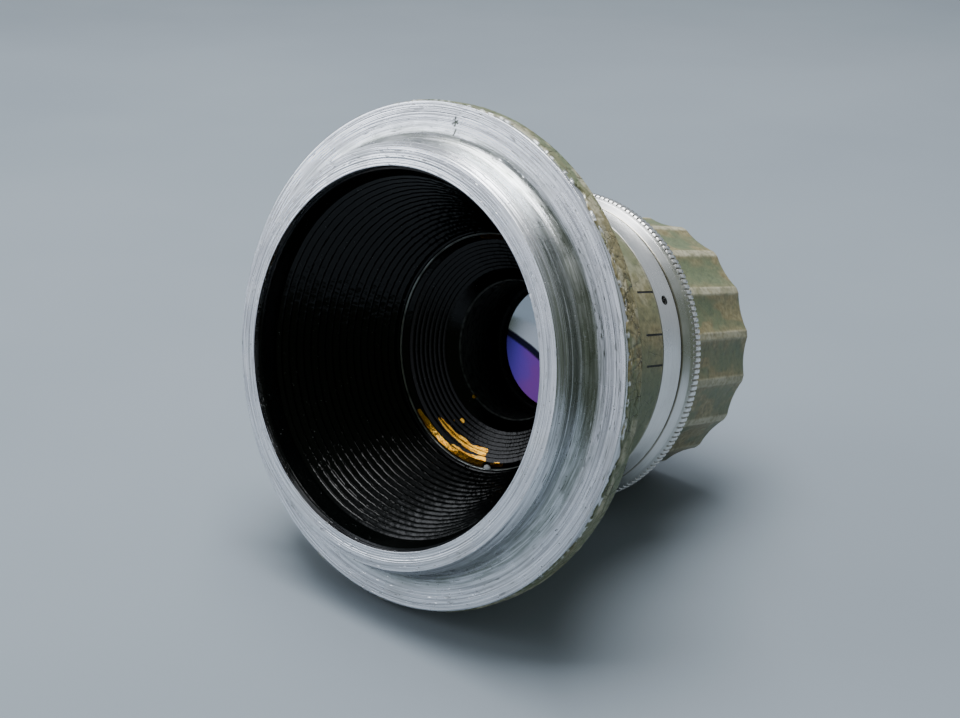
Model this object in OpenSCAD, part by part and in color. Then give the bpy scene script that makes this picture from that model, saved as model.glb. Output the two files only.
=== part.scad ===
// Enlarger lens with a plain 39 mm mounting spigot, a preset index ring and
// a fluted ring that works an eight-blade iris.
// The optical axis runs along +Y and the origin is the centre of the flange seat.

/* [Mount] */
// Diameter of the spigot that enters the lens board
spigot_d = 39; // [38.6:0.1:40]
// Length of the spigot, from the flange seat back to the rear rim
spigot_h = 3.7; // [3.5:0.1:4.2]
// Diameter of the mounting flange
flange_d = 47; // [46:0.5:50]
// Thickness of the mounting flange
flange_t = 2.3; // [2.1:0.1:2.5]
// Diameter of the throat at the rear rim
throat_d = 34.6; // [34.4:0.1:34.8]

/* [Barrel] */
// Diameter of the painted barrel beside the index ring
barrel_d = 30.7; // [30.4:0.1:31]
// Distance from the flange seat to the front end of the painted barrel
barrel_end = 18.7; // [18.5:0.1:18.9]
// Length of each engraved scale line
scale_line_l = 2.8; // [2:0.1:3.2]
// Width of each engraved scale line
scale_line_w = 0.22; // [0.15:0.01:0.3]

/* [Rings] */
// Diameter over the knurled edge of the preset ring
knurl_d = 32.5; // [32.2:0.1:33]
// Number of knurls round the edge
knurl_count = 180; // [120:10:200]
// Diameter over the ridges of the fluted grip ring
grip_d = 27.7; // [27.5:0.1:28]
// Number of flutes round the grip ring
flute_count = 18; // [12:1:18]
// Depth of a flute
flute_depth = 0.4; // [0.3:0.05:0.5]
// Distance from the flange seat to the front end of the grip ring
grip_end = 38.6; // [38.4:0.1:39]
// Diameter of the round index mark
index_hole_d = 0.96; // [0.8:0.02:1]

/* [Iris] */
// Number of iris blades
blade_count = 8; // [8:1:8]
// Diameter of the full aperture
open_d = 11.2; // [10.8:0.1:11.2]
// Turn of the grip ring from full aperture to half of its diameter, in degrees
iris_travel = 26.6; // [20:0.1:26.6]
// Degrees that a blade turns for each degree of the grip ring
cam_ratio = 0.68; // [0.6:0.01:0.68]
// Turn of the preset ring at rest, from the first scale line, in degrees
preset_rest = 3.3; // [0:0.1:10]

/* [Hidden] */
$fn = 96;
lens_fn = 300;

olive = "#6d7059";
silver = "#d3d6da";
black_paint = "#16171a";
brass_tone = "#b8903f";
steel_tone = "#8f9499";
clear_glass = [0.72, 0.70, 0.92, 0.45];

// Radii that follow from the driving diameters
spigot_r = spigot_d / 2;
flange_r = flange_d / 2;
throat_r = throat_d / 2;
barrel_r = barrel_d / 2;
knurl_r = knurl_d / 2;
grip_r = grip_d / 2;

// Clearances: running fit, axial play and assembly gap
run = 0.05;
play = 0.05;
slip = 0.02;

// Stations along the optical axis, measured from the flange seat
rim_y = -spigot_h;
baffle_rear = rim_y + 0.6;
rear_cell_rear = 11.2;
collar_rear = 14.2;
collar_front = 15;
neck_end = 23.3;
index_rear = barrel_end + 0.06;
index_front = 22.06;
knurled_rear = 22.22;
knurled_front = 24.28;
grip_rear = 24.38;
iris_floor = 25.6;
blade_floor = 26.4;
cam_plate_rear = 27.86;
cam_plate_t = 0.6;
cam_rim_front = 29.36;
retainer_rear = cam_rim_front + play;
front_cell_rear = 30;
front_cell_front = 36.2;
inner_barrel_end = 37.6;
bezel_front = 38.9;

// Radii of the inner pieces
neck_r = 13.4;
collar_bore_r = 12.7;
inner_barrel_r = 12;
rear_bore_r = 9.9;
front_bore_r = 10.9;
rear_glass_r = 6.9;

// Blade kinematics: the pivot sits at angle 0 and the cam pin blade_arc further on
pivot_r = 9.2;
blade_arc = 112;
blade_t = 0.08;
blade_tilt = atan(0.075);
blade_inner_r = open_d / 2 + 0.15;
blade_ear_r = 0.9;
blade_pin_r = 0.38;
blade_step = 360 / blade_count;
pivot_gap = 0.14;

// Angles about the optical axis, from +X towards -Z
scale_start = -35.5;
index_angle = scale_start + preset_rest;
flute_step = 360 / flute_count;
ridge_angle = -17.6;
drive_angle = ridge_angle + 8.5 * flute_step;
stop_angle = ridge_angle + 10 * flute_step;
friction_angle = 120;

// Small screws
drive_screw_r = 0.5;
drive_screw_y = 28.6;
index_screw_y = 20.25;
stop_pin_r = 0.35;
stop_pin_at = 12.95;
lock_screw_r = 0.7;
lock_screw_y = 16.6;
lock_angles = [115, 235];

// Turns a shape drawn along +Z to lie along +Y
module lens_axis() {
  rotate([-90, 0, 0]) children();
}

// A solid of revolution from [radius, station] points
module turned(points) {
  rotate_extrude() polygon(points);
}

// A plain ring from one station to another
module ring(outer_r, inner_r, rear, front) {
  translate([0, 0, rear]) difference() {
    cylinder(h = front - rear, r = outer_r);
    translate([0, 0, -1]) cylinder(h = front - rear + 2, r = inner_r);
  }
}

// A radial pin or hole at an angle, between two radii
module radial(angle, station, r, from_r, to_r) {
  rotate([0, 0, angle]) translate([from_r, 0, station])
    rotate([0, 90, 0]) cylinder(h = to_r - from_r, r = r, $fn = 32);
}

// A slot round the axis, between two radii, in which a screw of half_w travels by sweep
module arc_slot(start, sweep, station, half_w, from_r, to_r) {
  end = asin(half_w / from_r);
  rotate([0, 0, start - end]) rotate_extrude(angle = sweep + 2 * end)
    translate([from_r, station - half_w]) square([to_r - from_r, 2 * half_w]);
}

// Points of an arc in the profile plane
function arc_points(centre, r, from, to, steps) =
  [for (i = [0:steps]) let (a = from + (to - from) * i / steps)
    [centre[0] + r * cos(a), centre[1] + r * sin(a)]];

// Crests and roots of ribs along a line from start to end, as [radius, station]
function rib_points(start, end, count, height) =
  [for (i = [0:count - 1]) each
    let (a = start + (end - start) * i / count,
         b = start + (end - start) * (i + 0.45) / count,
         c = start + (end - start) * (i + 0.7) / count)
    [a, b - [height, 0], c - [height, 0]]];

// A point at a radius and an angle
function at(r, a) = [r * cos(a), r * sin(a)];

// A point turned about a centre
function turned_about(p, c, a) =
  [c[0] + (p[0] - c[0]) * cos(a) - (p[1] - c[1]) * sin(a),
   c[1] + (p[0] - c[0]) * sin(a) + (p[1] - c[1]) * cos(a)];

// ---- Fixed barrel ----

module main_barrel() {
  fillet = 1.7;
  edge = 0.25;
  cone_rear = 3.2;
  cone_front = 13;
  groove_y = rim_y + 0.97;
  profile = concat(
    [[throat_r, rim_y], [spigot_r - 0.45, rim_y], [spigot_r, rim_y + 0.85],
     [spigot_r, groove_y - 0.06], [spigot_r - 0.12, groove_y],
     [spigot_r, groove_y + 0.06]],
    arc_points([spigot_r + fillet, -fillet], fillet, 180, 90, 8),
    [[flange_r - edge, 0], [flange_r, edge], [flange_r, flange_t - edge],
     [flange_r - edge, flange_t], [20.4, flange_t], [19.4, flange_t + 0.25],
     [19.1, cone_rear], [barrel_r + 0.15, cone_front - 0.8],
     [barrel_r, cone_front], [barrel_r, barrel_end - 0.1],
     [barrel_r - 0.1, barrel_end], [neck_r, barrel_end], [neck_r, neck_end],
     [inner_barrel_r + slip, neck_end], [inner_barrel_r + slip, collar_front],
     [collar_bore_r, collar_front], [collar_bore_r, rear_cell_rear],
     [throat_r, baffle_rear]]);
  color(olive) lens_axis() difference() {
    turned(profile);
    for (stop = [0:2]) {
      turn = 2 * iris_travel * (1 - pow(2, -stop / 2));
      rotate([0, 0, scale_start + turn])
        translate([barrel_r - 0.12, -scale_line_w / 2, barrel_end - scale_line_l])
          cube([1, scale_line_w, scale_line_l + 0.01]);
    }
    for (a = lock_angles)
      radial(a, lock_screw_y, lock_screw_r, 11, 17);
    arc_slot(scale_start - 0.4, iris_travel + 0.8, index_screw_y,
             index_hole_d / 2 + run, 12.8, 14);
    rotate([0, 0, friction_angle - 24]) rotate_extrude(angle = 48)
      translate([12.85, 19.1]) square([1, 2]);
  }
}

module lock_screws() {
  color(steel_tone) lens_axis() for (a = lock_angles) difference() {
    radial(a, lock_screw_y, lock_screw_r, inner_barrel_r, barrel_r - 0.35);
    rotate([0, 0, a]) translate([barrel_r - 0.65, -1, lock_screw_y - 0.12])
      cube([1, 2, 0.24]);
  }
}

// ---- Rear throat and rear optics ----

module rear_baffle() {
  rib_h = 0.33;
  rib_count = 17;
  land_end = [throat_r - 0.8, rim_y + 2.14];
  start = land_end + [0.2, 0.05];
  end = [12, rear_cell_rear - 0.3];
  wall_gap = 0.04;
  profile = concat(
    [[throat_r - wall_gap, baffle_rear], [throat_r - 0.25, baffle_rear], land_end],
    rib_points(start, end, rib_count, rib_h),
    [[11.62, rear_cell_rear - 0.2], [11.62, rear_cell_rear],
     [collar_bore_r - wall_gap, rear_cell_rear]]);
  color(black_paint) lens_axis() turned(profile);
}

module rear_cell() {
  lip_r = 11.5;
  step_r = 6.96;
  step_y = 15.4;
  tube_front = iris_floor - 0.1;
  seat_y = 25;
  rib_h = 0.28;
  rib_count = 8;
  land_end = [lip_r - 0.5, rear_cell_rear + 0.65];
  ribs_end = [step_r + 1.24, step_y - 0.95];
  profile = concat(
    [[collar_bore_r - slip, rear_cell_rear], [lip_r, rear_cell_rear],
     [lip_r - 0.1, rear_cell_rear + 0.35], land_end],
    rib_points(land_end + [0, 0.1], ribs_end, rib_count, rib_h),
    [ribs_end - [0.2, -0.1], [step_r + 0.15, step_y - 0.12], [step_r, step_y], [step_r, seat_y], [rear_glass_r - 0.75, seat_y],
     [rear_glass_r - 0.75, tube_front], [rear_bore_r - slip, tube_front],
     [rear_bore_r - slip, collar_rear], [collar_bore_r - slip, collar_rear]]);
  color(brass_tone) lens_axis() turned(profile);
}

module rear_lock_ring() {
  rear = 21.2;
  front = 21.98;
  inner = rear_glass_r - 0.6;
  color(black_paint) lens_axis() difference() {
    turned([[inner + 0.25, rear], [rear_glass_r + 0.04, rear],
            [rear_glass_r + 0.04, front], [inner, front], [inner, rear + 0.25]]);
    for (a = [30, 210]) rotate([0, 0, a])
      translate([inner - 0.5, -0.4, rear - 0.01]) cube([2, 0.8, 0.35]);
  }
}

// Rear doublet: both glasses share the cemented sphere
rear_edge_y = 22;
rear_face_r = 20;
cement_r = 16;
cement_edge_y = 22.7;

function sag(r, edge) = r - sqrt(r * r - edge * edge);

module cement_sphere() {
  translate([0, 0, cement_edge_y + sag(cement_r, rear_glass_r) - cement_r])
    sphere(r = cement_r, $fn = lens_fn);
}

module rear_crown_lens() {
  top = cement_edge_y + sag(cement_r, rear_glass_r);
  face_centre = rear_edge_y + sag(rear_face_r, rear_glass_r) - rear_face_r;
  color(clear_glass) lens_axis() difference() {
    intersection() {
      translate([0, 0, rear_edge_y]) cylinder(h = top - rear_edge_y + 1, r = rear_glass_r);
      cement_sphere();
    }
    translate([0, 0, face_centre]) sphere(r = rear_face_r, $fn = lens_fn);
  }
}

module rear_flint_lens() {
  front = 24.98;
  hollow_r = 40;
  color(clear_glass) lens_axis() difference() {
    translate([0, 0, cement_edge_y + 0.1])
      cylinder(h = front - cement_edge_y - 0.1, r = rear_glass_r);
    cement_sphere();
    translate([0, 0, front - 0.35 + hollow_r]) sphere(r = hollow_r, $fn = lens_fn);
  }
}

// ---- Inner barrel and iris ----

module inner_barrel() {
  slot_spare = 0.4;
  color(black_paint) lens_axis() difference() {
    turned([[rear_bore_r, collar_rear], [collar_bore_r - slip, collar_rear],
            [collar_bore_r - slip, collar_front], [inner_barrel_r, collar_front],
            [inner_barrel_r, inner_barrel_end], [front_bore_r, inner_barrel_end],
            [front_bore_r, iris_floor], [rear_bore_r, iris_floor]]);
    arc_slot(drive_angle - slot_spare, iris_travel + 2 * slot_spare,
             drive_screw_y, drive_screw_r + 0.08, 10, 13);
  }
}

module iris_housing() {
  color(black_paint) lens_axis() difference() {
    ring(front_bore_r - slip, open_d / 2, iris_floor, blade_floor);
    for (i = [0:blade_count - 1]) rotate([0, 0, i * blade_step])
      translate([pivot_r, 0, iris_floor - 1])
        cylinder(h = 3, r = blade_pin_r + 0.03, $fn = 32);
  }
}

// Plan outline of a blade: inner edge, cam end, outer edge, pivot end
function blade_outline() =
  let (pivot = at(pivot_r, 0), cam = at(pivot_r, blade_arc))
  concat(
    arc_points([0, 0], blade_inner_r, 9, blade_arc - 4, 24),
    arc_points(cam, blade_ear_r, blade_arc + 150, blade_arc, 8),
    arc_points([0, 0], pivot_r + blade_ear_r, blade_arc - 1, 1, 24),
    arc_points(pivot, blade_ear_r, 0, -170, 8));

// One blade lies in a plane that rises from its pivot end to its cam end
module iris_blade(number) {
  cam = at(pivot_r, blade_arc);
  rise = 2 * pivot_r * sin(blade_arc / 2) * tan(blade_tilt);
  color(steel_tone) lens_axis() rotate([0, 0, (number - 1) * blade_step])
    translate([0, 0, blade_floor + pivot_gap]) {
      translate([pivot_r, 0, 0]) rotate([0, 0, blade_arc / 2])
        rotate([blade_tilt, 0, 0]) rotate([0, 0, -blade_arc / 2])
          translate([-pivot_r, 0, 0]) linear_extrude(blade_t)
            polygon(blade_outline());
      translate([pivot_r, 0, -0.7]) cylinder(h = 0.74, r = blade_pin_r, $fn = 32);
      translate([cam[0], cam[1], rise + 0.04])
        cylinder(h = 0.62, r = blade_pin_r, $fn = 32);
    }
}

module iris_blade_1() { iris_blade(1); }
module iris_blade_2() { iris_blade(2); }
module iris_blade_3() { iris_blade(3); }
module iris_blade_4() { iris_blade(4); }
module iris_blade_5() { iris_blade(5); }
module iris_blade_6() { iris_blade(6); }
module iris_blade_7() { iris_blade(7); }
module iris_blade_8() { iris_blade(8); }

// Path of a cam pin as seen from the actuating ring, for a turn of the ring
function cam_path(turn) =
  let (pivot = at(pivot_r, 0), cam = at(pivot_r, blade_arc))
  turned_about(turned_about(cam, pivot, cam_ratio * turn), [0, 0], -turn);

// Outline of a band of the given half width along the cam path
function cam_band(half_w, steps) =
  let (turns = [for (i = [0:steps]) iris_travel * i / steps],
       mids = [for (t = turns) cam_path(t)],
       ways = [for (t = turns)
         let (d = cam_path(t + 0.1) - cam_path(t - 0.1)) d / norm(d)],
       left = [for (i = [0:steps]) mids[i] + half_w * [-ways[i][1], ways[i][0]]],
       right = [for (i = [steps:-1:0]) mids[i] - half_w * [-ways[i][1], ways[i][0]]])
  concat(left, right);

module actuating_ring() {
  bore_r = 6;
  rim_r = 9.95;
  slot_r = blade_pin_r + 0.05;
  slot_steps = 8;
  color(steel_tone) lens_axis() difference() {
    union() {
      ring(front_bore_r - run, bore_r, cam_plate_rear, cam_plate_rear + cam_plate_t);
      ring(front_bore_r - run, rim_r, cam_plate_rear, cam_rim_front);
    }
    for (i = [0:blade_count - 1]) rotate([0, 0, i * blade_step])
      translate([0, 0, cam_plate_rear - 1]) {
        linear_extrude(3) polygon(cam_band(slot_r, slot_steps));
        for (t = [0, iris_travel]) translate(cam_path(t))
          cylinder(h = 3, r = slot_r, $fn = 32);
      }
    radial(drive_angle, drive_screw_y, drive_screw_r, 9, 12);
  }
}

module iris_retainer() {
  color(black_paint) lens_axis() difference() {
    ring(front_bore_r - slip, 6.2, retainer_rear, front_cell_rear);
    for (a = [0, 180]) rotate([0, 0, a])
      translate([9.6, -0.5, retainer_rear + 0.25]) cube([2, 1, 1]);
  }
}

// ---- Front optics ----

module front_cell() {
  color(black_paint) lens_axis()
    turned([[5.9, front_cell_rear], [front_bore_r - slip, front_cell_rear],
            [front_bore_r - slip, front_cell_front], [7.9, front_cell_front],
            [7.9, 33.2], [6.9, 33.2], [6.9, 30.6], [5.9, 30.6]]);
}

module middle_lens() {
  rear = 30.62;
  front = 32.58;
  hollow_r = 40;
  color(clear_glass) lens_axis() difference() {
    translate([0, 0, rear]) cylinder(h = front - rear, r = 6.86);
    for (face = [rear + 0.59 - hollow_r, front - 0.59 + hollow_r])
      translate([0, 0, face]) sphere(r = hollow_r, $fn = lens_fn);
  }
}

module lens_spacer() {
  color(black_paint) lens_axis() ring(6.86, 6.2, 32.6, 33.18);
}

module front_lens() {
  glass_r = 7.86;
  rear_edge = 34.0;
  front_edge = 34.4;
  rear_face_radius = 40;
  front_face_radius = 17;
  bottom = rear_edge - sag(rear_face_radius, glass_r);
  top = front_edge + sag(front_face_radius, glass_r);
  color(clear_glass) lens_axis() intersection() {
    translate([0, 0, bottom - 1]) cylinder(h = top - bottom + 2, r = glass_r);
    translate([0, 0, bottom + rear_face_radius]) sphere(r = rear_face_radius, $fn = lens_fn);
    translate([0, 0, top - front_face_radius]) sphere(r = front_face_radius, $fn = lens_fn);
  }
}

module front_lock_ring() {
  rear = 34.8;
  front = 35.7;
  color(black_paint) lens_axis() difference() {
    turned([[7.15, rear], [7.88, rear], [7.88, front], [7.4, front]]);
    for (a = [70, 250]) rotate([0, 0, a])
      translate([6.9, -0.4, front - 0.35]) cube([2, 0.8, 1]);
  }
}

module front_bezel() {
  flange_rear = 37.65;
  steps = 4;
  profile = concat(
    [[7.7, front_cell_front], [front_bore_r - slip, front_cell_front],
     [front_bore_r - slip, inner_barrel_end], [12.6, inner_barrel_end],
     [12.6, bezel_front - 0.2], [12.4, bezel_front], [10, bezel_front],
     [10, bezel_front - 0.7]],
    [for (i = [0:steps - 1]) each
      [[9.6 - i * 0.475, bezel_front - 0.7 - i * 0.5],
       [9.6 - i * 0.475, bezel_front - 1.2 - i * 0.5]]]);
  color(black_paint) lens_axis() turned(profile);
}

// ---- Preset ring ----

module thrust_ring() {
  color(brass_tone) lens_axis()
    ring(12.45, inner_barrel_r + slip, neck_end, grip_rear - play);
}

// A leaf that rests in the neck's pocket and bears on the index ring
module friction_spring() {
  leaf_r = 8.4;
  leaf_t = 0.15;
  crown_r = neck_r + run - slip;
  color(brass_tone) lens_axis() rotate([0, 0, friction_angle])
    intersection() {
      translate([crown_r - leaf_r, 0, 0]) ring(leaf_r, leaf_r - leaf_t, 19.3, 20.9);
      translate([12.86, -6, 19]) cube([2, 12, 3]);
    }
}

module index_ring() {
  bore_r = neck_r + run;
  collar_r = 14.4;
  color(silver) lens_axis() difference() {
    turned([[bore_r, index_rear], [barrel_r - 0.06, index_rear],
            [barrel_r, index_rear + 0.06], [barrel_r, index_front - 0.06],
            [barrel_r - 0.06, index_front], [collar_r, index_front],
            [collar_r, neck_end + play], [bore_r, neck_end + play]]);
    radial(index_angle, index_screw_y, index_hole_d / 2, 13, 17);
  }
}

module index_screw() {
  color(black_paint) lens_axis()
    radial(index_angle, index_screw_y, index_hole_d / 2, 12.95, barrel_r - 0.4);
}

// Outline of the knurled band, with straight V-shaped teeth
function knurl_outline(crest_r, root_r) =
  [for (i = [0:knurl_count - 1]) each
    [at(crest_r, 360 * i / knurl_count), at(root_r, 360 * (i + 0.5) / knurl_count)]];

module knurled_ring() {
  collar_r = 14.4;
  lip_r = 12.55;
  lip_rear = neck_end + play;
  band = 1;
  spare = 2.2;
  rest_to_first = preset_rest;
  rest_to_last = iris_travel - preset_rest;
  color(silver) lens_axis() difference() {
    union() {
      turned([[collar_r, knurled_rear], [barrel_r - 0.04, knurled_rear],
              [barrel_r + 0.04, knurled_rear + 0.08],
              [knurl_r - 0.25, knurled_front - band - 0.12],
              [knurl_r - 0.62, knurled_front - band],
              [knurl_r - 0.62, knurled_front], [lip_r, knurled_front],
              [lip_r, lip_rear], [collar_r, lip_rear]]);
      difference() {
        translate([0, 0, knurled_front - band]) linear_extrude(band)
          polygon(knurl_outline(knurl_r, knurl_r - 0.3));
        translate([0, 0, knurled_front - band - 1]) cylinder(h = 3, r = 15);
      }
    }
    rotate([0, 0, stop_angle - rest_to_last - spare])
      rotate_extrude(angle = iris_travel + rest_to_first + rest_to_last + 2 * spare)
        translate([12, neck_end]) square([1.42, 2]);
  }
}

// ---- Grip ring ----

module grip_ring() {
  bore_r = inner_barrel_r + run;
  recess_r = 12.7;
  recess_y = inner_barrel_end - play;
  chamfer = 0.4;
  cutter_r = 9;
  cutter_at = grip_r - flute_depth + cutter_r;
  color(olive) lens_axis() difference() {
    turned([[bore_r, grip_rear], [grip_r - 0.2, grip_rear], [grip_r, grip_rear + 0.2],
            [grip_r, grip_end - chamfer], [grip_r - chamfer, grip_end],
            [recess_r, grip_end], [recess_r, recess_y], [bore_r, recess_y]]);
    for (i = [0:flute_count - 1])
      rotate([0, 0, ridge_angle + (i + 0.5) * flute_step])
        translate([cutter_at, 0, grip_rear - 1])
          cylinder(h = grip_end - grip_rear + 2, r = cutter_r);
    radial(drive_angle, drive_screw_y, drive_screw_r, 11, 15);
    radial(drive_angle, drive_screw_y, 1, 12.8, 15);
    rotate([0, 0, stop_angle]) translate([stop_pin_at, 0, grip_rear - 1])
      cylinder(h = 2.5, r = stop_pin_r, $fn = 32);
  }
}

module drive_screw() {
  head_r = 0.95;
  head_top = 13.25;
  color(steel_tone) lens_axis() difference() {
    union() {
      radial(drive_angle, drive_screw_y, drive_screw_r, 10.05, 13);
      radial(drive_angle, drive_screw_y, head_r, 12.8, head_top);
    }
    rotate([0, 0, drive_angle]) translate([head_top - 0.2, -1, drive_screw_y - 0.13])
      cube([1, 2, 0.26]);
  }
}

module stop_pin() {
  color(steel_tone) lens_axis() rotate([0, 0, stop_angle])
    translate([stop_pin_at, 0, 23.6]) cylinder(h = grip_rear + 1.5 - 23.6,
                                               r = stop_pin_r, $fn = 32);
}

main_barrel();
lock_screws();
rear_baffle();
rear_cell();
rear_lock_ring();
rear_crown_lens();
rear_flint_lens();
inner_barrel();
iris_housing();
iris_blade_1();
iris_blade_2();
iris_blade_3();
iris_blade_4();
iris_blade_5();
iris_blade_6();
iris_blade_7();
iris_blade_8();
actuating_ring();
iris_retainer();
middle_lens();
lens_spacer();
front_lens();
front_cell();
front_lock_ring();
front_bezel();
thrust_ring();
friction_spring();
index_ring();
index_screw();
knurled_ring();
grip_ring();
drive_screw();
stop_pin();
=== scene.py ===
"""Enlarger lens: the looks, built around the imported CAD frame. Metres, optical axis along +Y."""

import math

import bmesh
import bpy
import numpy as np
from mathutils import Matrix, Vector


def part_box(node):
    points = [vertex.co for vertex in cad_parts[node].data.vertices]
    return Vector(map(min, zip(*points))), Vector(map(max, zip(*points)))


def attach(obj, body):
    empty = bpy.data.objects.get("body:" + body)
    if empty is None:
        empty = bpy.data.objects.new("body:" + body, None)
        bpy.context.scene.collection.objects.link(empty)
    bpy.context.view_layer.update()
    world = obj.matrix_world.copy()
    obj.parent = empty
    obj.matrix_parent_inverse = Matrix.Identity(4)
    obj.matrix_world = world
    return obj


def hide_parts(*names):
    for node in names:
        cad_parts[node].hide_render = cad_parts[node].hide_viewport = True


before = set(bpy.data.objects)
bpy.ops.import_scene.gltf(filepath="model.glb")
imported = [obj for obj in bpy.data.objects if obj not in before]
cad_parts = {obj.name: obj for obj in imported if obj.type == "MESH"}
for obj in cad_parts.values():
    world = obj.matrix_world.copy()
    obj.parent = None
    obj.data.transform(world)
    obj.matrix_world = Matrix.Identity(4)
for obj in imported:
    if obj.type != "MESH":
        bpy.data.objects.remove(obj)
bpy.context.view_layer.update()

MM = 0.001
TURN = 2 * math.pi


# ---- sizes, in mm

def reach(node):
    """Largest radius about the axis, and the stations of its two ends."""
    low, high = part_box(node)
    return (high[0] - low[0]) / 2 / MM, low[1] / MM, high[1] / MM


FLANGE_R, RIM_Y, NECK_END = reach("main_barrel")
RING_R, INDEX_REAR, INDEX_COLLAR = reach("index_ring")
KNURL_R, KNURLED_REAR, KNURLED_FRONT = reach("knurled_ring")
GRIP_R = 13.85
GRIP_REAR, GRIP_END = reach("grip_ring")[1:]
BEZEL_R, _, BEZEL_FRONT = reach("front_bezel")
CELL_REAR, CELL_END = reach("rear_cell")[1:]
BAFFLE_REAR = reach("rear_baffle")[1]
LOCK_REAR, LOCK_FRONT = reach("rear_lock_ring")[1:]
INDEX_FRONT = 22.06
THROAT_R = 17.3
SPIGOT_R = 19.5
FLANGE_T = 2.3
FILLET = 1.7
BARREL_R = 15.35
BARREL_END = 18.7
CONE_R = 19.1
CONE_REAR, CONE_FRONT, CONE_END = 3.2, 12.2, 13
NECK_R = 13.4
SEAT_R, SEAT_REAR = 12.02, 15
COLLAR_BORE_R = 12.7
PAINT_T = 0.08
EDGE_PAINT_T = 0.16

# Angles about the axis, from +X towards +Z, in degrees
SCALE_ANGLES = (35.5, 19.92, 8.9)
INDEX_ANGLE = 32.2
INDEX_Y = 20.25
RIDGE_ANGLE = 17.6
WORN_ANGLE = 38
FLUTES = 18
KNURLS = 180
DRIVE_ANGLE = -152.4
DRIVE_Y = 28.6
STOP_ANGLE = -182.4
LOCK_SCREW_ANGLES = (-115, -235)
LOCK_SCREW_Y = 16.6


# ---- random fields

def field(seed, round_count, along_count):
    """A smooth random field from 0 to 1, periodic round the axis. It takes turns and lengths from 0 to 1."""
    table = np.random.RandomState(seed).rand(round_count, along_count + 1)

    def value(turn, along):
        u = (turn % 1.0) * round_count
        v = np.clip(along, 0, 1) * along_count
        i, j = np.floor(u).astype(int), np.minimum(np.floor(v).astype(int), along_count - 1)
        a, b = u - i, v - j
        a, b = a * a * (3 - 2 * a), b * b * (3 - 2 * b)
        i, i2 = i % round_count, (i + 1) % round_count
        low = table[i, j] * (1 - a) + table[i2, j] * a
        high = table[i, j + 1] * (1 - a) + table[i2, j + 1] * a
        return low * (1 - b) + high * b

    return value


def layered(seed, round_count, along_count, layers=3):
    """Several fields, each twice as fine and half as strong as the one before."""
    parts = [field(seed + k, round_count * 2 ** k, max(1, along_count * 2 ** k)) for k in range(layers)]
    total = sum(0.5 ** k for k in range(layers))
    return lambda turn, along: sum(0.5 ** k * f(turn, along) for k, f in enumerate(parts)) / total


def crackle(seed, turn, r, y, size, low, high):
    """How near each point is to the border between two flakes, from 0 to 1. size is a flake's width in mm."""
    rand = np.random.RandomState(seed)
    round_ = TURN * r.mean()
    count = int(round_ * (high - low) / size ** 2) + 4
    u, v = rand.rand(count) * round_, low + rand.rand(count) * (high - low)
    first, second = np.full(turn.shape, 1e9), np.full(turn.shape, 1e9)
    at = turn * round_
    for a, b in zip(u, v):
        gap = np.abs(at - a)
        d = np.hypot(np.minimum(gap, round_ - gap), y - b)
        second = np.minimum(second, np.maximum(first, d))
        first = np.minimum(first, d)
    return np.exp(-((second - first) / 0.09) ** 2)


def smooth_step(value, low, high):
    t = np.clip((value - low) / (high - low), 0, 1)
    return t * t * (3 - 2 * t)


def angle_gap(turn, degrees):
    """Signed gap from an angle, in degrees."""
    return (turn * 360 - degrees + 180) % 360 - 180


def near_angle(turn, degrees, far, close):
    """From 0 at the far gap to 1 at the close one."""
    return smooth_step(np.abs(angle_gap(turn, degrees)), far, close)


def worn_side(turn, low, high):
    """From 0 to 1 towards the side of the flange that is worn most."""
    return smooth_step(np.cos((turn * 360 - WORN_ANGLE) * math.pi / 180), low, high)


def spot(turn, y, angle, station, half_deg, half_mm):
    """A soft spot on a turned face."""
    return np.exp(-(angle_gap(turn, angle) / half_deg) ** 2 - ((y - station) / half_mm) ** 2)


# ---- profiles

def rounded(points, radius=0.06, steps=3):
    """A closed profile with its corners rounded. A point may carry its own radius as a third number."""
    out = []
    count = len(points)
    for i, point in enumerate(points):
        r = point[2] if len(point) > 2 else radius
        here = np.array(point[:2], float)
        before = np.array(points[i - 1][:2], float) - here
        after = np.array(points[(i + 1) % count][:2], float) - here
        a, b = np.linalg.norm(before), np.linalg.norm(after)
        cut = min(r, 0.45 * a, 0.45 * b)
        turn = np.cross(before / a, after / b)
        if cut < 1e-4 or abs(turn) < 0.05:
            out.append(tuple(here))
            continue
        start, end = here + before / a * cut, here + after / b * cut
        for k in range(steps + 1):
            t = k / steps
            out.append(tuple((1 - t) ** 2 * start + 2 * t * (1 - t) * here + t ** 2 * end))
    return out


def line(start, end, count):
    """Points along a line, with both ends."""
    return [tuple(p) for p in np.linspace(start, end, count)]


def arc(centre, r, start, end, count):
    return [(centre[0] + r * math.cos(math.radians(a)), centre[1] + r * math.sin(math.radians(a)))
            for a in np.linspace(start, end, count)]


def about(r, y, *steps):
    """Points given by their steps from a corner, along the radius and the axis."""
    return [(r + a, y + b) for a, b in steps]


def tooled(start, end, count, depth, seed):
    """Points along a line with the fine grooves that a turning tool leaves, cut to the line's left."""
    rand = np.random.RandomState(seed)
    start, end = np.array(start, float), np.array(end, float)
    way = (end - start) / np.linalg.norm(end - start)
    inward = np.array([-way[1], way[0]])
    out = [tuple(start)]
    for k in range(1, count - 1):
        p = start + (end - start) * (k + 0.5 * (rand.rand() - 0.5)) / (count - 1)
        out.append(tuple(p + inward * depth * rand.rand() ** 1.5))
    return out + [tuple(end)]


# ---- meshes

def mesh_object(name, verts, faces, sharp=32):
    mesh = bpy.data.meshes.new(name)
    mesh.from_pydata(verts, [], faces)
    mesh.validate()
    obj = bpy.data.objects.new(name, mesh)
    bpy.context.collection.objects.link(obj)
    finish_mesh(obj, sharp)
    return obj


def finish_mesh(obj, sharp=32):
    obj.data.shade_smooth()
    obj.data.set_sharp_from_angle(angle=math.radians(sharp))
    obj.data.update()


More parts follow.
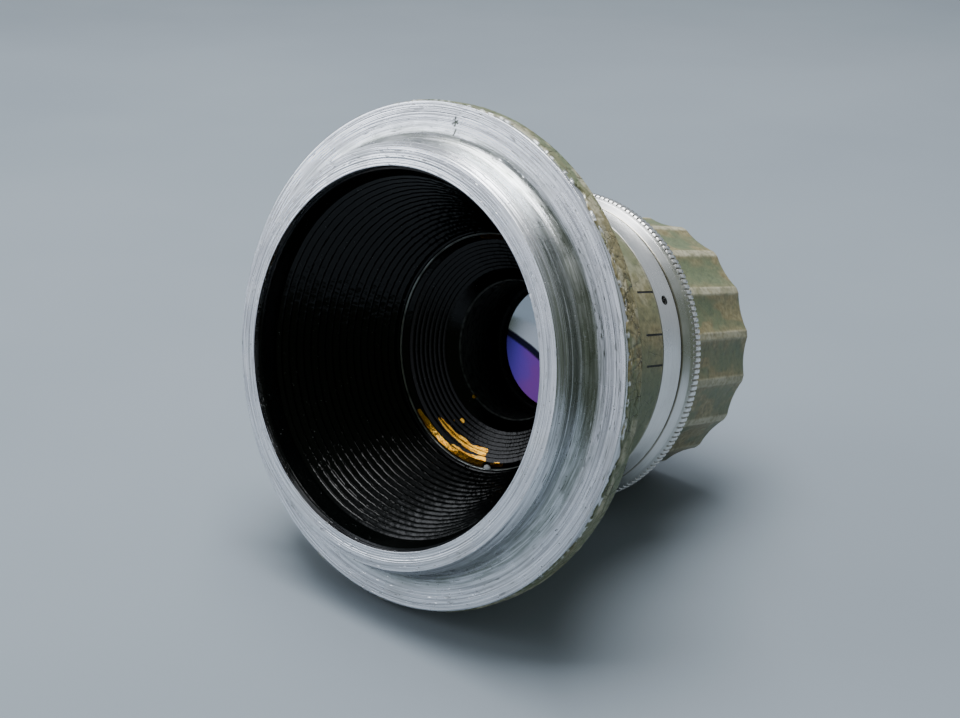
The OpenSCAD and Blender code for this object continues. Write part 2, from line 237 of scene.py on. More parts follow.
def turned(name, profile, segments=480, shape=None, sharp=32):
    """A closed solid of revolution about +Y from a profile of (radius, station) in mm. shape(turn, r, y) may
    move the points. turn runs from 0 to 1, from +X towards +Z."""
    profile = np.array([p[:2] for p in profile], float)
    nxt = np.roll(profile, -1, axis=0)
    area = (profile[:, 0] * nxt[:, 1] - nxt[:, 0] * profile[:, 1]).sum()
    if area < 0:
        profile = profile[::-1]
    n = len(profile)
    turn = np.arange(segments) / segments
    t, r = np.meshgrid(turn, profile[:, 0])
    y = np.repeat(profile[:, 1:], segments, axis=1)
    if shape is not None:
        r, y = shape(t, r, y)
    angle = t * TURN
    verts = np.stack([r * np.cos(angle), y, r * np.sin(angle)], axis=-1).reshape(-1, 3) * MM
    i, j = np.meshgrid(np.arange(n), np.arange(segments), indexing="ij")
    i2, j2 = (i + 1) % n, (j + 1) % segments
    corners = [i * segments + j, i2 * segments + j, i2 * segments + j2, i * segments + j2]
    faces = np.stack(corners, axis=-1).reshape(-1, 4)
    return mesh_object(name, verts.tolist(), faces.tolist(), sharp)


def directions(turn_deg):
    """The radial and the tangential direction at an angle."""
    a = math.radians(turn_deg)
    return Vector((math.cos(a), 0, math.sin(a))), Vector((-math.sin(a), 0, math.cos(a)))


def block(lengths, centre, turn_deg):
    """A box about a point on the part: lengths along the radius, the axis and round the axis."""
    radial, axial, round_ = [v / 2 for v in lengths]
    r, y = centre
    out, side = directions(turn_deg)
    verts = []
    for x in (-1, 1):
        for k in (-1, 1):
            for s in (-1, 1):
                p = out * (r + x * radial) + Vector((0, y + k * axial, 0)) + side * (s * round_)
                verts.append(p * MM)
    faces = [(0, 1, 3, 2), (4, 6, 7, 5), (0, 4, 5, 1), (2, 3, 7, 6), (0, 2, 6, 4), (1, 5, 7, 3)]
    return verts, faces


def rod(r, inner, outer, station, turn_deg, sides=48):
    """A radial cylinder."""
    out, side = directions(turn_deg)
    verts = []
    for end in (inner, outer):
        for k in range(sides):
            b = TURN * k / sides
            on_circle = Vector((0, station + r * math.cos(b), 0)) + side * (r * math.sin(b))
            verts.append((out * end + on_circle) * MM)
    faces = [tuple(range(sides)), tuple(range(2 * sides - 1, sides - 1, -1))]
    faces += [((k + 1) % sides, k, k + sides, (k + 1) % sides + sides) for k in range(sides)]
    return verts, faces


def arc_bar(inner, outer, rear, front, start_deg, end_deg, steps=48):
    """A bar that follows the circle."""
    verts, faces = [], []
    for k in range(steps + 1):
        a = math.radians(start_deg + (end_deg - start_deg) * k / steps)
        for r, y in ((inner, rear), (outer, rear), (outer, front), (inner, front)):
            verts.append(Vector((r * math.cos(a), y, r * math.sin(a))) * MM)
        if k:
            b, c = 4 * (k - 1), 4 * k
            faces += [(b + s, b + (s + 1) % 4, c + (s + 1) % 4, c + s) for s in range(4)]
    faces += [(3, 2, 1, 0), (4 * steps, 4 * steps + 1, 4 * steps + 2, 4 * steps + 3)]
    return verts, faces


def joined(name, parts):
    verts, faces = [], []
    for v, f in parts:
        faces += [tuple(i + len(verts) for i in face) for face in f]
        verts += list(v)
    obj = mesh_object(name, verts, faces)
    outward(obj)
    return obj


def outward(obj, merge=False):
    """Turns the faces outwards. merge first joins the points that coincide."""
    bm = bmesh.new()
    bm.from_mesh(obj.data)
    if merge:
        bmesh.ops.remove_doubles(bm, verts=bm.verts, dist=1e-6)
    bmesh.ops.recalc_face_normals(bm, faces=bm.faces)
    bm.to_mesh(obj.data)
    bm.free()


def cut(obj, parts, sharp=32):
    """Takes closed shapes away from a piece."""
    tool = joined("cutting_tool", parts)
    mod = obj.modifiers.new("cut", "BOOLEAN")
    mod.operation, mod.object, mod.solver = "DIFFERENCE", tool, "MANIFOLD"
    graph = bpy.context.evaluated_depsgraph_get()
    mesh = bpy.data.meshes.new_from_object(obj.evaluated_get(graph))
    obj.modifiers.clear()
    old, obj.data = obj.data, mesh
    bpy.data.meshes.remove(old)
    bpy.data.objects.remove(tool, do_unlink=True)
    mesh.name = obj.name
    finish_mesh(obj, sharp)


def polar(obj):
    """Turn, radius and station of each point, in mm."""
    co = np.empty(len(obj.data.vertices) * 3, np.float32)
    obj.data.vertices.foreach_get("co", co)
    co = co.reshape(-1, 3) / MM
    return (np.arctan2(co[:, 2], co[:, 0]) / TURN) % 1.0, np.hypot(co[:, 0], co[:, 2]), co[:, 1]


def store(obj, name, values):
    attribute = obj.data.attributes.get(name) or obj.data.attributes.new(name, "FLOAT", "POINT")
    attribute.data.foreach_set("value", np.asarray(values, np.float32))


# ---- material nodes

class Tree:
    """A node tree under construction."""

    def __init__(self, tree):
        self.tree = tree

    def add(self, kind):
        return self.tree.nodes.new(kind)

    def link(self, source, target):
        if hasattr(source, "node"):
            self.tree.links.new(source, target)
        else:
            target.default_value = source

    def vector(self, operation, a, b=(0, 0, 0), output="Vector"):
        node = self.add("ShaderNodeVectorMath")
        node.operation = operation
        self.link(a, node.inputs[0])
        self.link(b, node.inputs[1])
        return node.outputs[output]

    def span(self, value, low, high, to_low=0.0, to_high=1.0):
        node = self.add("ShaderNodeMapRange")
        node.interpolation_type = "SMOOTHSTEP"
        for k, v in enumerate((value, low, high, to_low, to_high)):
            self.link(v, node.inputs[k])
        return node.outputs[0]

    def mix(self, share, a, b):
        node = self.add("ShaderNodeMix")
        node.data_type = "RGBA"
        self.link(share, node.inputs[0])
        for value, socket in ((a, node.inputs[6]), (b, node.inputs[7])):
            self.link(value if hasattr(value, "node") else (*value, 1), socket)
        return node.outputs[2]


class Nodes(Tree):
    """A material under construction. Lengths in its textures are in mm."""

    def __init__(self, name):
        self.material = bpy.data.materials.new(name)
        self.material.use_nodes = True
        super().__init__(self.material.node_tree)
        self.shader = self.tree.nodes["Principled BSDF"]
        place = self.add("ShaderNodeTexCoord").outputs["Object"]
        self.place = self.vector("MULTIPLY", place, (1 / MM, 1 / MM, 1 / MM))
        split = self.add("ShaderNodeSeparateXYZ")
        self.link(self.place, split.inputs[0])
        self.x, self.y, self.z = split.outputs
        self.r = self.math("POWER", self.plus(self.times(self.x, self.x), self.times(self.z, self.z)), 0.5)
        self.way = self.vector("NORMALIZE", self.vector("MULTIPLY", self.place, (1, 0, 1)))

    def math(self, operation, a, b=0.0, clamp=False):
        node = self.add("ShaderNodeMath")
        node.operation, node.use_clamp = operation, clamp
        self.link(a, node.inputs[0])
        self.link(b, node.inputs[1])
        return node.outputs[0]

    def plus(self, a, b):
        return self.math("ADD", a, b)

    def minus(self, a, b):
        return self.math("SUBTRACT", a, b)

    def times(self, a, b):
        return self.math("MULTIPLY", a, b)

    def most(self, a, b):
        return self.math("MAXIMUM", a, b)

    def lathe(self, round_, across):
        """Coordinates that run slowly round the axis and fast across it, with no seam."""
        slow = self.vector("MULTIPLY", self.way, (round_, round_, round_))
        fast = self.times(self.plus(self.r, self.times(self.y, 1.37)), across)
        both = self.add("ShaderNodeCombineXYZ")
        self.link(fast, both.inputs[1])
        return self.vector("ADD", slow, both.outputs[0])

    def noise(self, at=None, scale=1.0, detail=3.0, rough=0.55, warp=0.0):
        node = self.add("ShaderNodeTexNoise")
        self.link(self.place if at is None else at, node.inputs["Vector"])
        node.inputs["Scale"].default_value = scale
        node.inputs["Detail"].default_value = detail
        node.inputs["Roughness"].default_value = rough
        node.inputs["Distortion"].default_value = warp
        return node.outputs["Fac"]

    def cells(self, at=None, scale=1.0, feature="F1", smooth=None):
        node = self.add("ShaderNodeTexVoronoi")
        node.feature = feature
        self.link(self.place if at is None else at, node.inputs["Vector"])
        node.inputs["Scale"].default_value = scale
        if smooth is not None:
            node.inputs["Smoothness"].default_value = smooth
        return node.outputs["Distance"]

    def colours(self, value, *stops):
        """A ramp of (position, colour)."""
        node = self.add("ShaderNodeValToRGB")
        ramp = node.color_ramp
        while len(ramp.elements) < len(stops):
            ramp.elements.new(0.5)
        for element, (position, colour) in zip(ramp.elements, stops):
            element.position, element.color = position, (*colour, 1)
        self.link(value, node.inputs[0])
        return node.outputs["Color"]

    def blend(self, share, a, b):
        """A number that goes from a to b."""
        node = self.add("ShaderNodeMix")
        self.link(share, node.inputs[0])
        self.link(a, node.inputs[2])
        self.link(b, node.inputs[3])
        return node.outputs[0]

    def stored(self, name):
        node = self.add("ShaderNodeAttribute")
        node.attribute_name = name
        return node.outputs["Fac"]

    def bump(self, height, depth):
        """Relief of a depth in mm for heights from 0 to 1."""
        node = self.add("ShaderNodeBump")
        node.inputs["Strength"].default_value = 1.0
        node.inputs["Distance"].default_value = depth * MM
        self.link(height, node.inputs["Height"])
        return node.outputs["Normal"]

    def set(self, **values):
        for key, value in values.items():
            socket = self.shader.inputs[key.replace("_", " ")]
            if isinstance(value, tuple) and len(value) == 3:
                value = (*value, 1)
            self.link(value, socket)
        return self.material


def stroke(n, x, z, turn_deg, length, width):
    """1 inside a short straight scratch on a face across the axis."""
    c, d = math.cos(math.radians(turn_deg)), math.sin(math.radians(turn_deg))
    dx, dz = n.minus(n.x, x), n.minus(n.z, z)
    along = n.math("ABSOLUTE", n.plus(n.times(dx, c), n.times(dz, d)))
    aside = n.math("ABSOLUTE", n.minus(n.times(dz, c), n.times(dx, d)))
    in_length = n.span(along, length * 0.3, length * 0.5, 1.0, 0.0)
    return n.times(in_length, n.span(aside, width * 0.3, width, 1.0, 0.0))


def star_scratch(n):
    """The star-shaped scratch on the flange's face: four strokes, unevenly deep."""
    strokes = [stroke(n, *values) for values in (
        (0.45, 21.75, 95, 1.10, 0.13), (0.45, 21.70, 35, 0.95, 0.12),
        (0.50, 21.78, -30, 0.85, 0.12), (0.62, 20.85, 80, 0.8, 0.10))]
    star = n.most(n.most(*strokes[:2]), n.most(*strokes[2:]))
    return n.times(star, n.span(n.noise(scale=5.0, detail=2), 0.35, 0.55, 0.60, 0.95))


def fillet_painted_shade(n):
    """Painted shade: a greenish darkening in the corner between the spigot and the flange, standing in for the
    dark reflection there.
    """
    corner = n.times(n.span(n.r, SPIGOT_R - 0.3, SPIGOT_R + 0.2), n.span(n.r, FLANGE_R - 1.6, SPIGOT_R + 0.9))
    corner = n.times(corner, n.span(n.y, -3.0, -2.6, 0.35, 1.0))
    return n.times(corner, n.span(n.noise(n.lathe(7.0, 3.0), detail=3), 0.35, 0.65, 0.10, 0.65))


def turned_metal(name, tint=(0.72, 0.74, 0.78), rough=0.25, lines=0.024, aniso=0.45, lined=0.38, dashes=0.8,
                 pitted=0.9, marked_and_shaded=True):
    """Bare turned aluminium: tool marks round the axis, broken dark dashes, pits and grey stains, with painted
    shade: a greenish darkening in the spigot's fillet and a brownish darkening in the seams and tooth gaps.
    """
    n = Nodes(name)
    coarse = n.noise(n.lathe(1.0, 2.3), detail=2)
    fine = n.noise(n.lathe(2.4, 6.2), detail=3, rough=0.6)
    dash = n.noise(n.lathe(15.0, 4.6), detail=2, rough=0.6)
    dash_gate = n.noise(n.lathe(1.6, 2.6), detail=2)
    cloud = n.noise(scale=0.22, detail=4)
    pit_size = n.noise(scale=0.45, detail=2)
    pits = n.times(n.span(n.cells(scale=2.3), 0.07, 0.15, 1.0, 0.0), n.span(pit_size, 0.50, 0.60))
    dashed = n.times(n.span(dash, 0.60, 0.67), n.span(dash_gate, 0.42, 0.60, 0.10, dashes))
    relief = n.plus(coarse, n.times(fine, 0.45))
    relief = n.minus(relief, n.plus(n.times(pits, 0.8), n.times(dashed, 0.35)))
    dark = tuple(c * (1 - lined) for c in tint)
    bright = tuple(min(1, c * (1 + 0.6 * lined)) for c in tint)
    base = n.colours(fine, (0.36, dark), (0.50, tint), (0.62, bright))
    base = n.mix(n.span(cloud, 0.48, 0.75, 0.0, 0.35 if marked_and_shaded else 0.10), base, (0.42, 0.44, 0.42))
    base = n.mix(n.times(dashed, 0.75), base, (0.15, 0.155, 0.15))
    base = n.mix(n.times(pits, pitted), base, (0.045, 0.042, 0.035))
    if marked_and_shaded:
        # Painted shade in the fillet corner between the spigot and the flange.
        base = n.mix(fillet_painted_shade(n), base, (0.17, 0.20, 0.15))
        star = star_scratch(n)
        base = n.mix(star, base, (0.055, 0.065, 0.040))
        relief = n.minus(relief, n.times(star, 0.8))
    # Painted shade: a brownish darkening in the seams and the tooth gaps, stored on each piece.
    base = n.mix(n.times(n.stored("seam_and_gap_painted_shade"), 0.75), base, (0.25, 0.22, 0.14))
    rougher = n.span(cloud, 0.35, 0.75, rough - 0.04, rough + 0.12)
    rougher = n.plus(rougher, n.times(n.plus(pits, dashed), 0.25))
    tangent = n.add("ShaderNodeTangent")
    tangent.direction_type, tangent.axis = "RADIAL", "Y"
    return n.set(Base_Color=base, Metallic=1.0, Roughness=rougher, Anisotropic=aniso,
                 Tangent=tangent.outputs[0], Normal=n.bump(relief, lines))


def hammer_paint(name, brown=0.45, crack=1.0, lumps=0.055):
    """Old olive hammer paint: dimples with painted shade in their hollows, fine cracks, brown staining and
    worn high spots.
    """
    n = Nodes(name)
    shifted = n.vector("ADD", n.place, n.vector("MULTIPLY", n.noise(scale=1.2), (0.5, 0.5, 0.5)))
    dimple = n.cells(shifted, scale=1.15, feature="SMOOTH_F1", smooth=0.6)
    grain = n.noise(scale=4.5, detail=4, rough=0.6)
    patch = n.noise(scale=0.17, detail=3, warp=0.5)
    speck = n.noise(scale=2.2, detail=3)
    wobbled = n.vector("ADD", n.place, n.vector("MULTIPLY", n.noise(scale=1.6, detail=3), (0.9, 0.9, 0.9)))
    crack_line = n.span(n.cells(wobbled, scale=0.62, feature="DISTANCE_TO_EDGE"), 0.0, 0.035, 1.0, 0.0)
    crack_line = n.times(crack_line, n.span(n.noise(scale=0.5, detail=2), 0.40, 0.58, 0.0, crack))
    crack_line = n.most(crack_line, n.times(n.stored("crack"), n.span(grain, 0.38, 0.62, 0.0, 0.42)))
    wear, stain, fleck = n.stored("wear"), n.stored("stain"), n.stored("fleck")
    green = n.colours(grain, (0.25, (0.095, 0.122, 0.066)), (0.5, (0.150, 0.182, 0.098)),
                      (0.78, (0.225, 0.255, 0.145)))
    khaki = n.colours(speck, (0.30, (0.185, 0.155, 0.072)), (0.52, (0.262, 0.228, 0.115)),
                      (0.75, (0.360, 0.318, 0.175)))
    base = n.mix(n.math("ADD", n.span(patch, 0.42, 0.62, 0.0, brown), stain, clamp=True), green, khaki)
    # Painted shade: the dimples are darkened in their hollows.
    base = n.mix(n.span(dimple, 0.05, 0.45, 0.30, 0.0), base, (0.060, 0.070, 0.050))
    base = n.mix(n.times(wear, n.span(speck, 0.30, 0.60, 0.45, 1.0)), base, (0.50, 0.47, 0.34))
    base = n.mix(n.times(crack_line, 0.85), base, (0.028, 0.026, 0.018))
    base = n.mix(fleck, base, (0.80, 0.82, 0.84))
    relief = n.minus(n.plus(n.times(dimple, 0.8), n.times(grain, 0.35)), n.times(crack_line, 0.9))
    rough = n.plus(n.span(grain, 0.3, 0.7, 0.34, 0.55), n.times(wear, 0.1))
    return n.set(Base_Color=base, Metallic=n.plus(n.times(fleck, 0.8), 0.12), Roughness=rough,
                 Specular_IOR_Level=0.5, Normal=n.bump(relief, lumps))


def black_lacquer(name, brass=False):
    """Glossy black lacquer with a fine grain. Where it is worn, brass shows, and a painted highlight, lighter
    grey and partly metallic, runs along the stored edges.
    """
    n = Nodes(name)
    grain = n.noise(scale=6.0, detail=4, rough=0.7)
    lump = n.noise(n.lathe(60.0, 2.5), detail=2)
    dust = n.times(n.span(n.cells(scale=2.6), 0.05, 0.14, 1.0, 0.0), n.span(n.noise(scale=0.7), 0.52, 0.64))
    base = n.colours(grain, (0.3, (0.0004, 0.0007, 0.0007)), (0.6, (0.0010, 0.0015, 0.0014)),
                     (0.85, (0.0080, 0.0100, 0.0092)))
    base = n.mix(n.times(dust, 0.45), base, (0.26, 0.28, 0.28))
    metallic = 0.0
    rough = n.span(grain, 0.3, 0.75, 0.09, 0.19)
    normal = n.bump(n.plus(n.times(grain, 0.5), n.times(lump, 0.5)), 0.018)
    if brass:
        ragged = n.times(n.minus(n.noise(scale=2.6, detail=3), 0.5), 0.30)
        bare = n.span(n.plus(n.stored("wear"), ragged), 0.46, 0.54)
        # Painted highlight: a lighter grey, partly metallic band along the lip and the step.
        edge = n.times(n.stored("edge"), n.span(n.noise(n.lathe(9.0, 3.0), detail=3), 0.35, 0.6, 0.35, 1.0))
        base = n.mix(n.times(edge, 0.75), base, (0.42, 0.44, 0.42))
        metal = n.colours(n.noise(n.lathe(9.0, 7.0), detail=3), (0.34, (0.30, 0.11, 0.008)),
                          (0.44, (0.72, 0.33, 0.025)), (0.64, (0.92, 0.50, 0.070)))
        base = n.mix(bare, base, metal)
        metallic = n.most(bare, n.times(edge, 0.6))
        rough = n.blend(bare, rough, 0.22)
    return n.set(Base_Color=base, Metallic=metallic, Roughness=rough, Specular_IOR_Level=0.20, Normal=normal)


def plain_metal(name, low, high, rough, metallic=1.0, relief=0.01, scale=3.0):
    """Small metal parts: a mottled tone with fine turning marks."""
    n = Nodes(name)
    grain = n.noise(scale=scale, detail=4)
    lines = n.noise(n.lathe(4.0, 16.0), detail=2)
    base = n.colours(grain, (0.32, low), (0.68, high))
    height = n.plus(n.times(grain, 0.4), n.times(lines, 0.6))
    return n.set(Base_Color=base, Metallic=metallic, Normal=n.bump(height, relief),
                 Roughness=n.span(lines, 0.3, 0.7, rough - 0.06, rough + 0.08))


def coated(name, tint):
    """Lens glass with a coloured coating and a trace of dust."""
    n = Nodes(name)
    dust = n.span(n.noise(scale=5.0, detail=4), 0.60, 0.78, 0.0, 1.0)
    base = n.mix(n.times(dust, 0.10), (0.97, 0.98, 0.98), (0.80, 0.82, 0.84))
    return n.set(Base_Color=base, Metallic=0.0, Roughness=n.times(dust, 0.05), Transmission_Weight=1.0,
                 IOR=1.6, Specular_IOR_Level=1.0, Specular_Tint=tint)


def violet_coat_with_painted_reflection():
    """The rear glass: violet coating colour below, and a painted reflection above it: pale grey, with a dark
    painted band between the two.
    """
    n = Nodes("coated_glass")
    height = n.plus(n.z, n.times(n.x, 0.42))
    cloud = n.noise(scale=0.30, detail=2)
    height = n.plus(height, n.times(n.minus(cloud, 0.5), 0.3))
    side = n.span(n.x, -6.0, -2.2)
    low = n.mix(side, (0.095, 0.070, 0.56), (0.27, 0.075, 0.42))
    low = n.mix(n.span(cloud, 0.4, 0.65, 0.0, 0.45), low, (0.15, 0.080, 0.58))
    # Painted reflection: the dark band and the pale grey above it are painted into the glass's colour by
    # height.
    coat_and_painted_reflection = n.mix(n.span(height, -3.15, -2.85), low, (0.010, 0.012, 0.020))
    coat_and_painted_reflection = n.mix(n.span(height, -2.35, -2.10), coat_and_painted_reflection, (0.60, 0.66, 0.71))
    shine = n.span(height, -2.35, -2.10, 0.70, 0.75)
    return n.set(Base_Color=coat_and_painted_reflection, Metallic=shine, Roughness=n.span(cloud, 0.3, 0.7, 0.07, 0.12),
                 Transmission_Weight=1.0, IOR=1.6, Specular_IOR_Level=0.8, Specular_Tint=(0.12, 0.08, 0.6))


def floor_material():
    n = Nodes("studio_floor")
    cloud = n.noise(scale=0.012, detail=3)
    base = n.colours(cloud, (0.3, (0.215, 0.252, 0.290)), (0.7, (0.242, 0.280, 0.318)))
    return n.set(Base_Color=base, Roughness=0.75, Specular_IOR_Level=0.3)


ALUMINIUM = turned_metal("turned_aluminium")
RING_METAL = turned_metal("satin_aluminium", tint=(0.84, 0.84, 0.83), rough=0.30, lines=0.002, aniso=0.35,
                          lined=0.06, dashes=0.05, pitted=0.15, marked_and_shaded=False)
OLIVE_EDGE = hammer_paint("olive_paint_flange", brown=0.25, crack=0.8, lumps=0.13)
OLIVE = hammer_paint("olive_paint", brown=0.35, crack=0.35)
OLIVE_GRIP = hammer_paint("olive_paint_grip", brown=0.45, crack=0.15)
BLACK = black_lacquer("black_lacquer")
WORN_BRASS_AND_EDGE_HIGHLIGHT = black_lacquer("black_lacquer_on_brass_with_edge_highlight", brass=True)
BLACK_FILL = plain_metal("black_filler", (0.004, 0.004, 0.004), (0.016, 0.015, 0.013), 0.6, metallic=0.0)
BLACKED = plain_metal("blackened_metal", (0.010, 0.010, 0.011), (0.030, 0.031, 0.033), 0.42, metallic=0.6)
BLADE = plain_metal("blade_steel", (0.020, 0.020, 0.022), (0.055, 0.056, 0.060), 0.38, metallic=0.8,
                    relief=0.004, scale=1.4)
STEEL = plain_metal("screw_steel", (0.25, 0.26, 0.27), (0.55, 0.56, 0.58), 0.33)
BRONZE = plain_metal("spring_bronze", (0.36, 0.21, 0.09), (0.66, 0.43, 0.20), 0.32)
VIOLET_GLASS_WITH_PAINTED_REFLECTION = violet_coat_with_painted_reflection()
BLUE_GLASS = coated("coated_glass_front", (0.45, 0.40, 1.0))
WHITE_SPOT = plain_metal("dried_glue", (0.55, 0.56, 0.58), (0.86, 0.88, 0.90), 0.25, metallic=0.0,
                         relief=0.03)


def dress(obj, body, slot, material, *nodes):
    obj.data.materials.clear()
    obj.data.materials.append(material)
    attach(obj, body)
    if nodes:
        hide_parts(*nodes)


def paint_attributes(obj, wear, stain, crack=None):
    turn, r, y = polar(obj)
    store(obj, "crack", np.zeros(len(r)) if crack is None else crack(turn, r, y))
    store(obj, "wear", wear(turn, r, y))
    store(obj, "stain", stain(turn, r, y))


# ---- barrel

def lock_screw_holes():
    return [rod(0.7, 11, 18, LOCK_SCREW_Y, a) for a in LOCK_SCREW_ANGLES]


def barrel_metal():
    """Bare turning: rim, spigot, fillet and flange face, and the metal under the paint."""
    edge_r = FLANGE_R - EDGE_PAINT_T
    under_r, under_y = BARREL_R - PAINT_T, FLANGE_T - PAINT_T
    rim = [(THROAT_R, RIM_Y, 0.05), *tooled((THROAT_R + 0.12, RIM_Y), (SPIGOT_R - 0.47, RIM_Y), 34, 0.022, 4)]
    chamfer = [(SPIGOT_R - 0.45, RIM_Y + 0.01),
               *tooled((SPIGOT_R - 0.36, RIM_Y + 0.18), (SPIGOT_R - 0.02, RIM_Y + 0.82), 8, 0.012, 5)]
    spigot = about(SPIGOT_R, RIM_Y, (0, 0.86), (0, 0.91), (-0.12, 0.97), (0, 1.03), (-0.015, 1.22),
                   (-0.012, 1.55), (-0.05, 1.60), (-0.01, 1.66))
    fillet = arc((SPIGOT_R + FILLET, -FILLET), FILLET, 180, 92, 26)
    face = tooled((SPIGOT_R + FILLET + 0.02, 0), (edge_r - 0.16, 0), 40, 0.016, 6)
    edge = [(edge_r - 0.04, 0.02), (edge_r, 0.10), (edge_r, FLANGE_T - 0.25), (edge_r - 0.1, under_y - 0.05)]
    cone = [(20.4, under_y), (19.2, FLANGE_T + 0.10), (18.98, 2.8), (CONE_R - 0.08 - PAINT_T, CONE_REAR),
            (under_r + 0.15, CONE_FRONT)]
    front = [(under_r, CONE_END), (under_r, BARREL_END - 0.08), (BARREL_R - 0.14, BARREL_END),
             (NECK_R, BARREL_END), (NECK_R, NECK_END)]
    bore = [(SEAT_R, NECK_END), (SEAT_R, SEAT_REAR), (COLLAR_BORE_R, SEAT_REAR), (COLLAR_BORE_R, CELL_REAR),
            (THROAT_R, BAFFLE_REAR)]
    profile = rounded(rim + chamfer + spigot + fillet + face + edge + cone + front + bore, 0.03, 2)
    wave, nick = layered(21, 40, 10), field(22, 900, 60)

    def shape(turn, r, y):
        """Uneven tool marks and a few nicks on the bare faces, always cut inwards."""
        on_face = ((y < 0.3) & (r > THROAT_R + 0.05)).astype(float)
        radial = smooth_step(r, THROAT_R, FLANGE_R)
        deep = smooth_step(nick(turn, radial), 0.955, 1.0) * 0.06 * on_face
        uneven = np.abs((wave(turn, radial) - 0.5) * 0.008 * on_face)
        on_spigot = (r > SPIGOT_R - 0.1) & (y < -FILLET)
        sunk = y + deep + uneven * (y < 0.05)
        return np.where(on_spigot, r - deep - uneven, r), np.where(on_spigot, y, sunk)

    obj = turned("barrel_metal", profile, 720, shape, sharp=40)
    first_line, half_slot = SCALE_ANGLES[0], 0.53
    index_slot = arc_bar(12.8, 14, INDEX_Y - half_slot, INDEX_Y + half_slot,
                         first_line - 29.4, first_line + 2.8)
    spring_pocket = arc_bar(12.85, 14, 19.1, 21.1, -144, -96)
    cut(obj, lock_screw_holes() + [index_slot, spring_pocket], sharp=40)
    dress(obj, "barrel", "ring_aluminium", ALUMINIUM, "main_barrel")


def flange_paint():
    """Thick hammer paint on the flange's edge and front face, cracked into flakes and chipped at the rear."""
    front_inner_r, skin = 20.45, 0.14
    outer = [(FLANGE_R - 0.26, 0.02), *arc((FLANGE_R - 0.22, 0.22), 0.22, -80, -10, 7)]
    outer += line((FLANGE_R, 0.26), (FLANGE_R, FLANGE_T - 0.22), 32)
    outer += arc((FLANGE_R - 0.18, FLANGE_T - 0.18), 0.18, 10, 80, 5)
    outer += line((FLANGE_R - 0.24, FLANGE_T), (front_inner_r, FLANGE_T), 14)
    back_r = FLANGE_R - EDGE_PAINT_T - skin
    inner = [(front_inner_r, FLANGE_T - skin), (FLANGE_R - 0.5, FLANGE_T - skin), (back_r, FLANGE_T - 0.4),
             (back_r, 0.34), (FLANGE_R - 0.46, skin)]
    lump, fine = layered(31, 110, 6, 3), field(32, 420, 14)
    border, chip, flake = layered(33, 70, 2, 4), layered(34, 130, 5, 3), field(35, 300, 8)

    def flakes(turn, r, y):
        return crackle(38, turn, r * 0 + FLANGE_R, y, 1.05, 0, FLANGE_T)

    def shape(turn, r, y):
        out = (r > FLANGE_R - 0.32) & (y < FLANGE_T - 0.05)
        along = np.clip(y / FLANGE_T, 0, 1)
        edge = 0.02 + 0.95 * border(turn, along * 0) ** 1.6 + 0.12 * worn_side(turn, 0.3, 1.0)
        missing = smooth_step(edge - y + 0.16 * (chip(turn, along) - 0.5), -0.03, 0.05)
        holes = smooth_step(chip(turn, along), 0.72, 0.76) * smooth_step(flake(turn, along), 0.45, 0.60)
        holes = holes * smooth_step(y, 1.5, 0.9)
        bare_spot = smooth_step(spot(turn, y, 23.0, 0.45, 1.0, 0.32), 0.5, 0.7)
        gone = np.clip(np.maximum(np.maximum(missing, holes), bare_spot), 0, 1)
        rough = 0.085 * (1 - lump(turn, along)) + 0.025 * (1 - fine(turn, along)) + 0.030 * flakes(turn, r, y)
        drop = np.where(out, gone * (EDGE_PAINT_T + 0.08) + (1 - gone) * np.minimum(rough, 0.13), 0)
        front = (~out) & (y > FLANGE_T - 0.06)
        return r - drop, y - np.where(front, 0.03 * lump(turn, smooth_step(r, 20, FLANGE_R)), 0)

    obj = turned("flange_paint", outer + inner, 1200, shape, sharp=50)
    tone, dark = layered(36, 60, 6, 3), layered(37, 60, 6, 3)

    def over(r, y):
        """How far round the edge and down the front face, from 0 to 1."""
        return np.clip((y + FLANGE_R - r) / 6, 0, 1)

    def wear(turn, r, y):
        return 0.75 * smooth_step(tone(turn, over(r, y)), 0.52, 0.70)

    def stain(turn, r, y):
        shade = dark(turn, over(r, y))
        brown = 0.95 * near_angle(turn, 30, 26, 14) * smooth_step(shade, 0.2, 0.5)
        return brown + 0.35 * smooth_step(shade, 0.55, 0.75)

    paint_attributes(obj, wear, stain, lambda turn, r, y: flakes(turn, r, y) * (r > FLANGE_R - 0.4))
    turn, r, y = polar(obj)
    bits = layered(39, 330, 6, 2)(turn, y / FLANGE_T)
    near = smooth_step(np.abs(y - 0.38 - 0.5 * (border(turn, y * 0) - 0.3)), 0.30, 0.05)
    store(obj, "fleck", near * smooth_step(bits, 0.60, 0.68) * worn_side(turn, -0.2, 0.6))
    dress(obj, "barrel", "barrel_paint", OLIVE_EDGE)


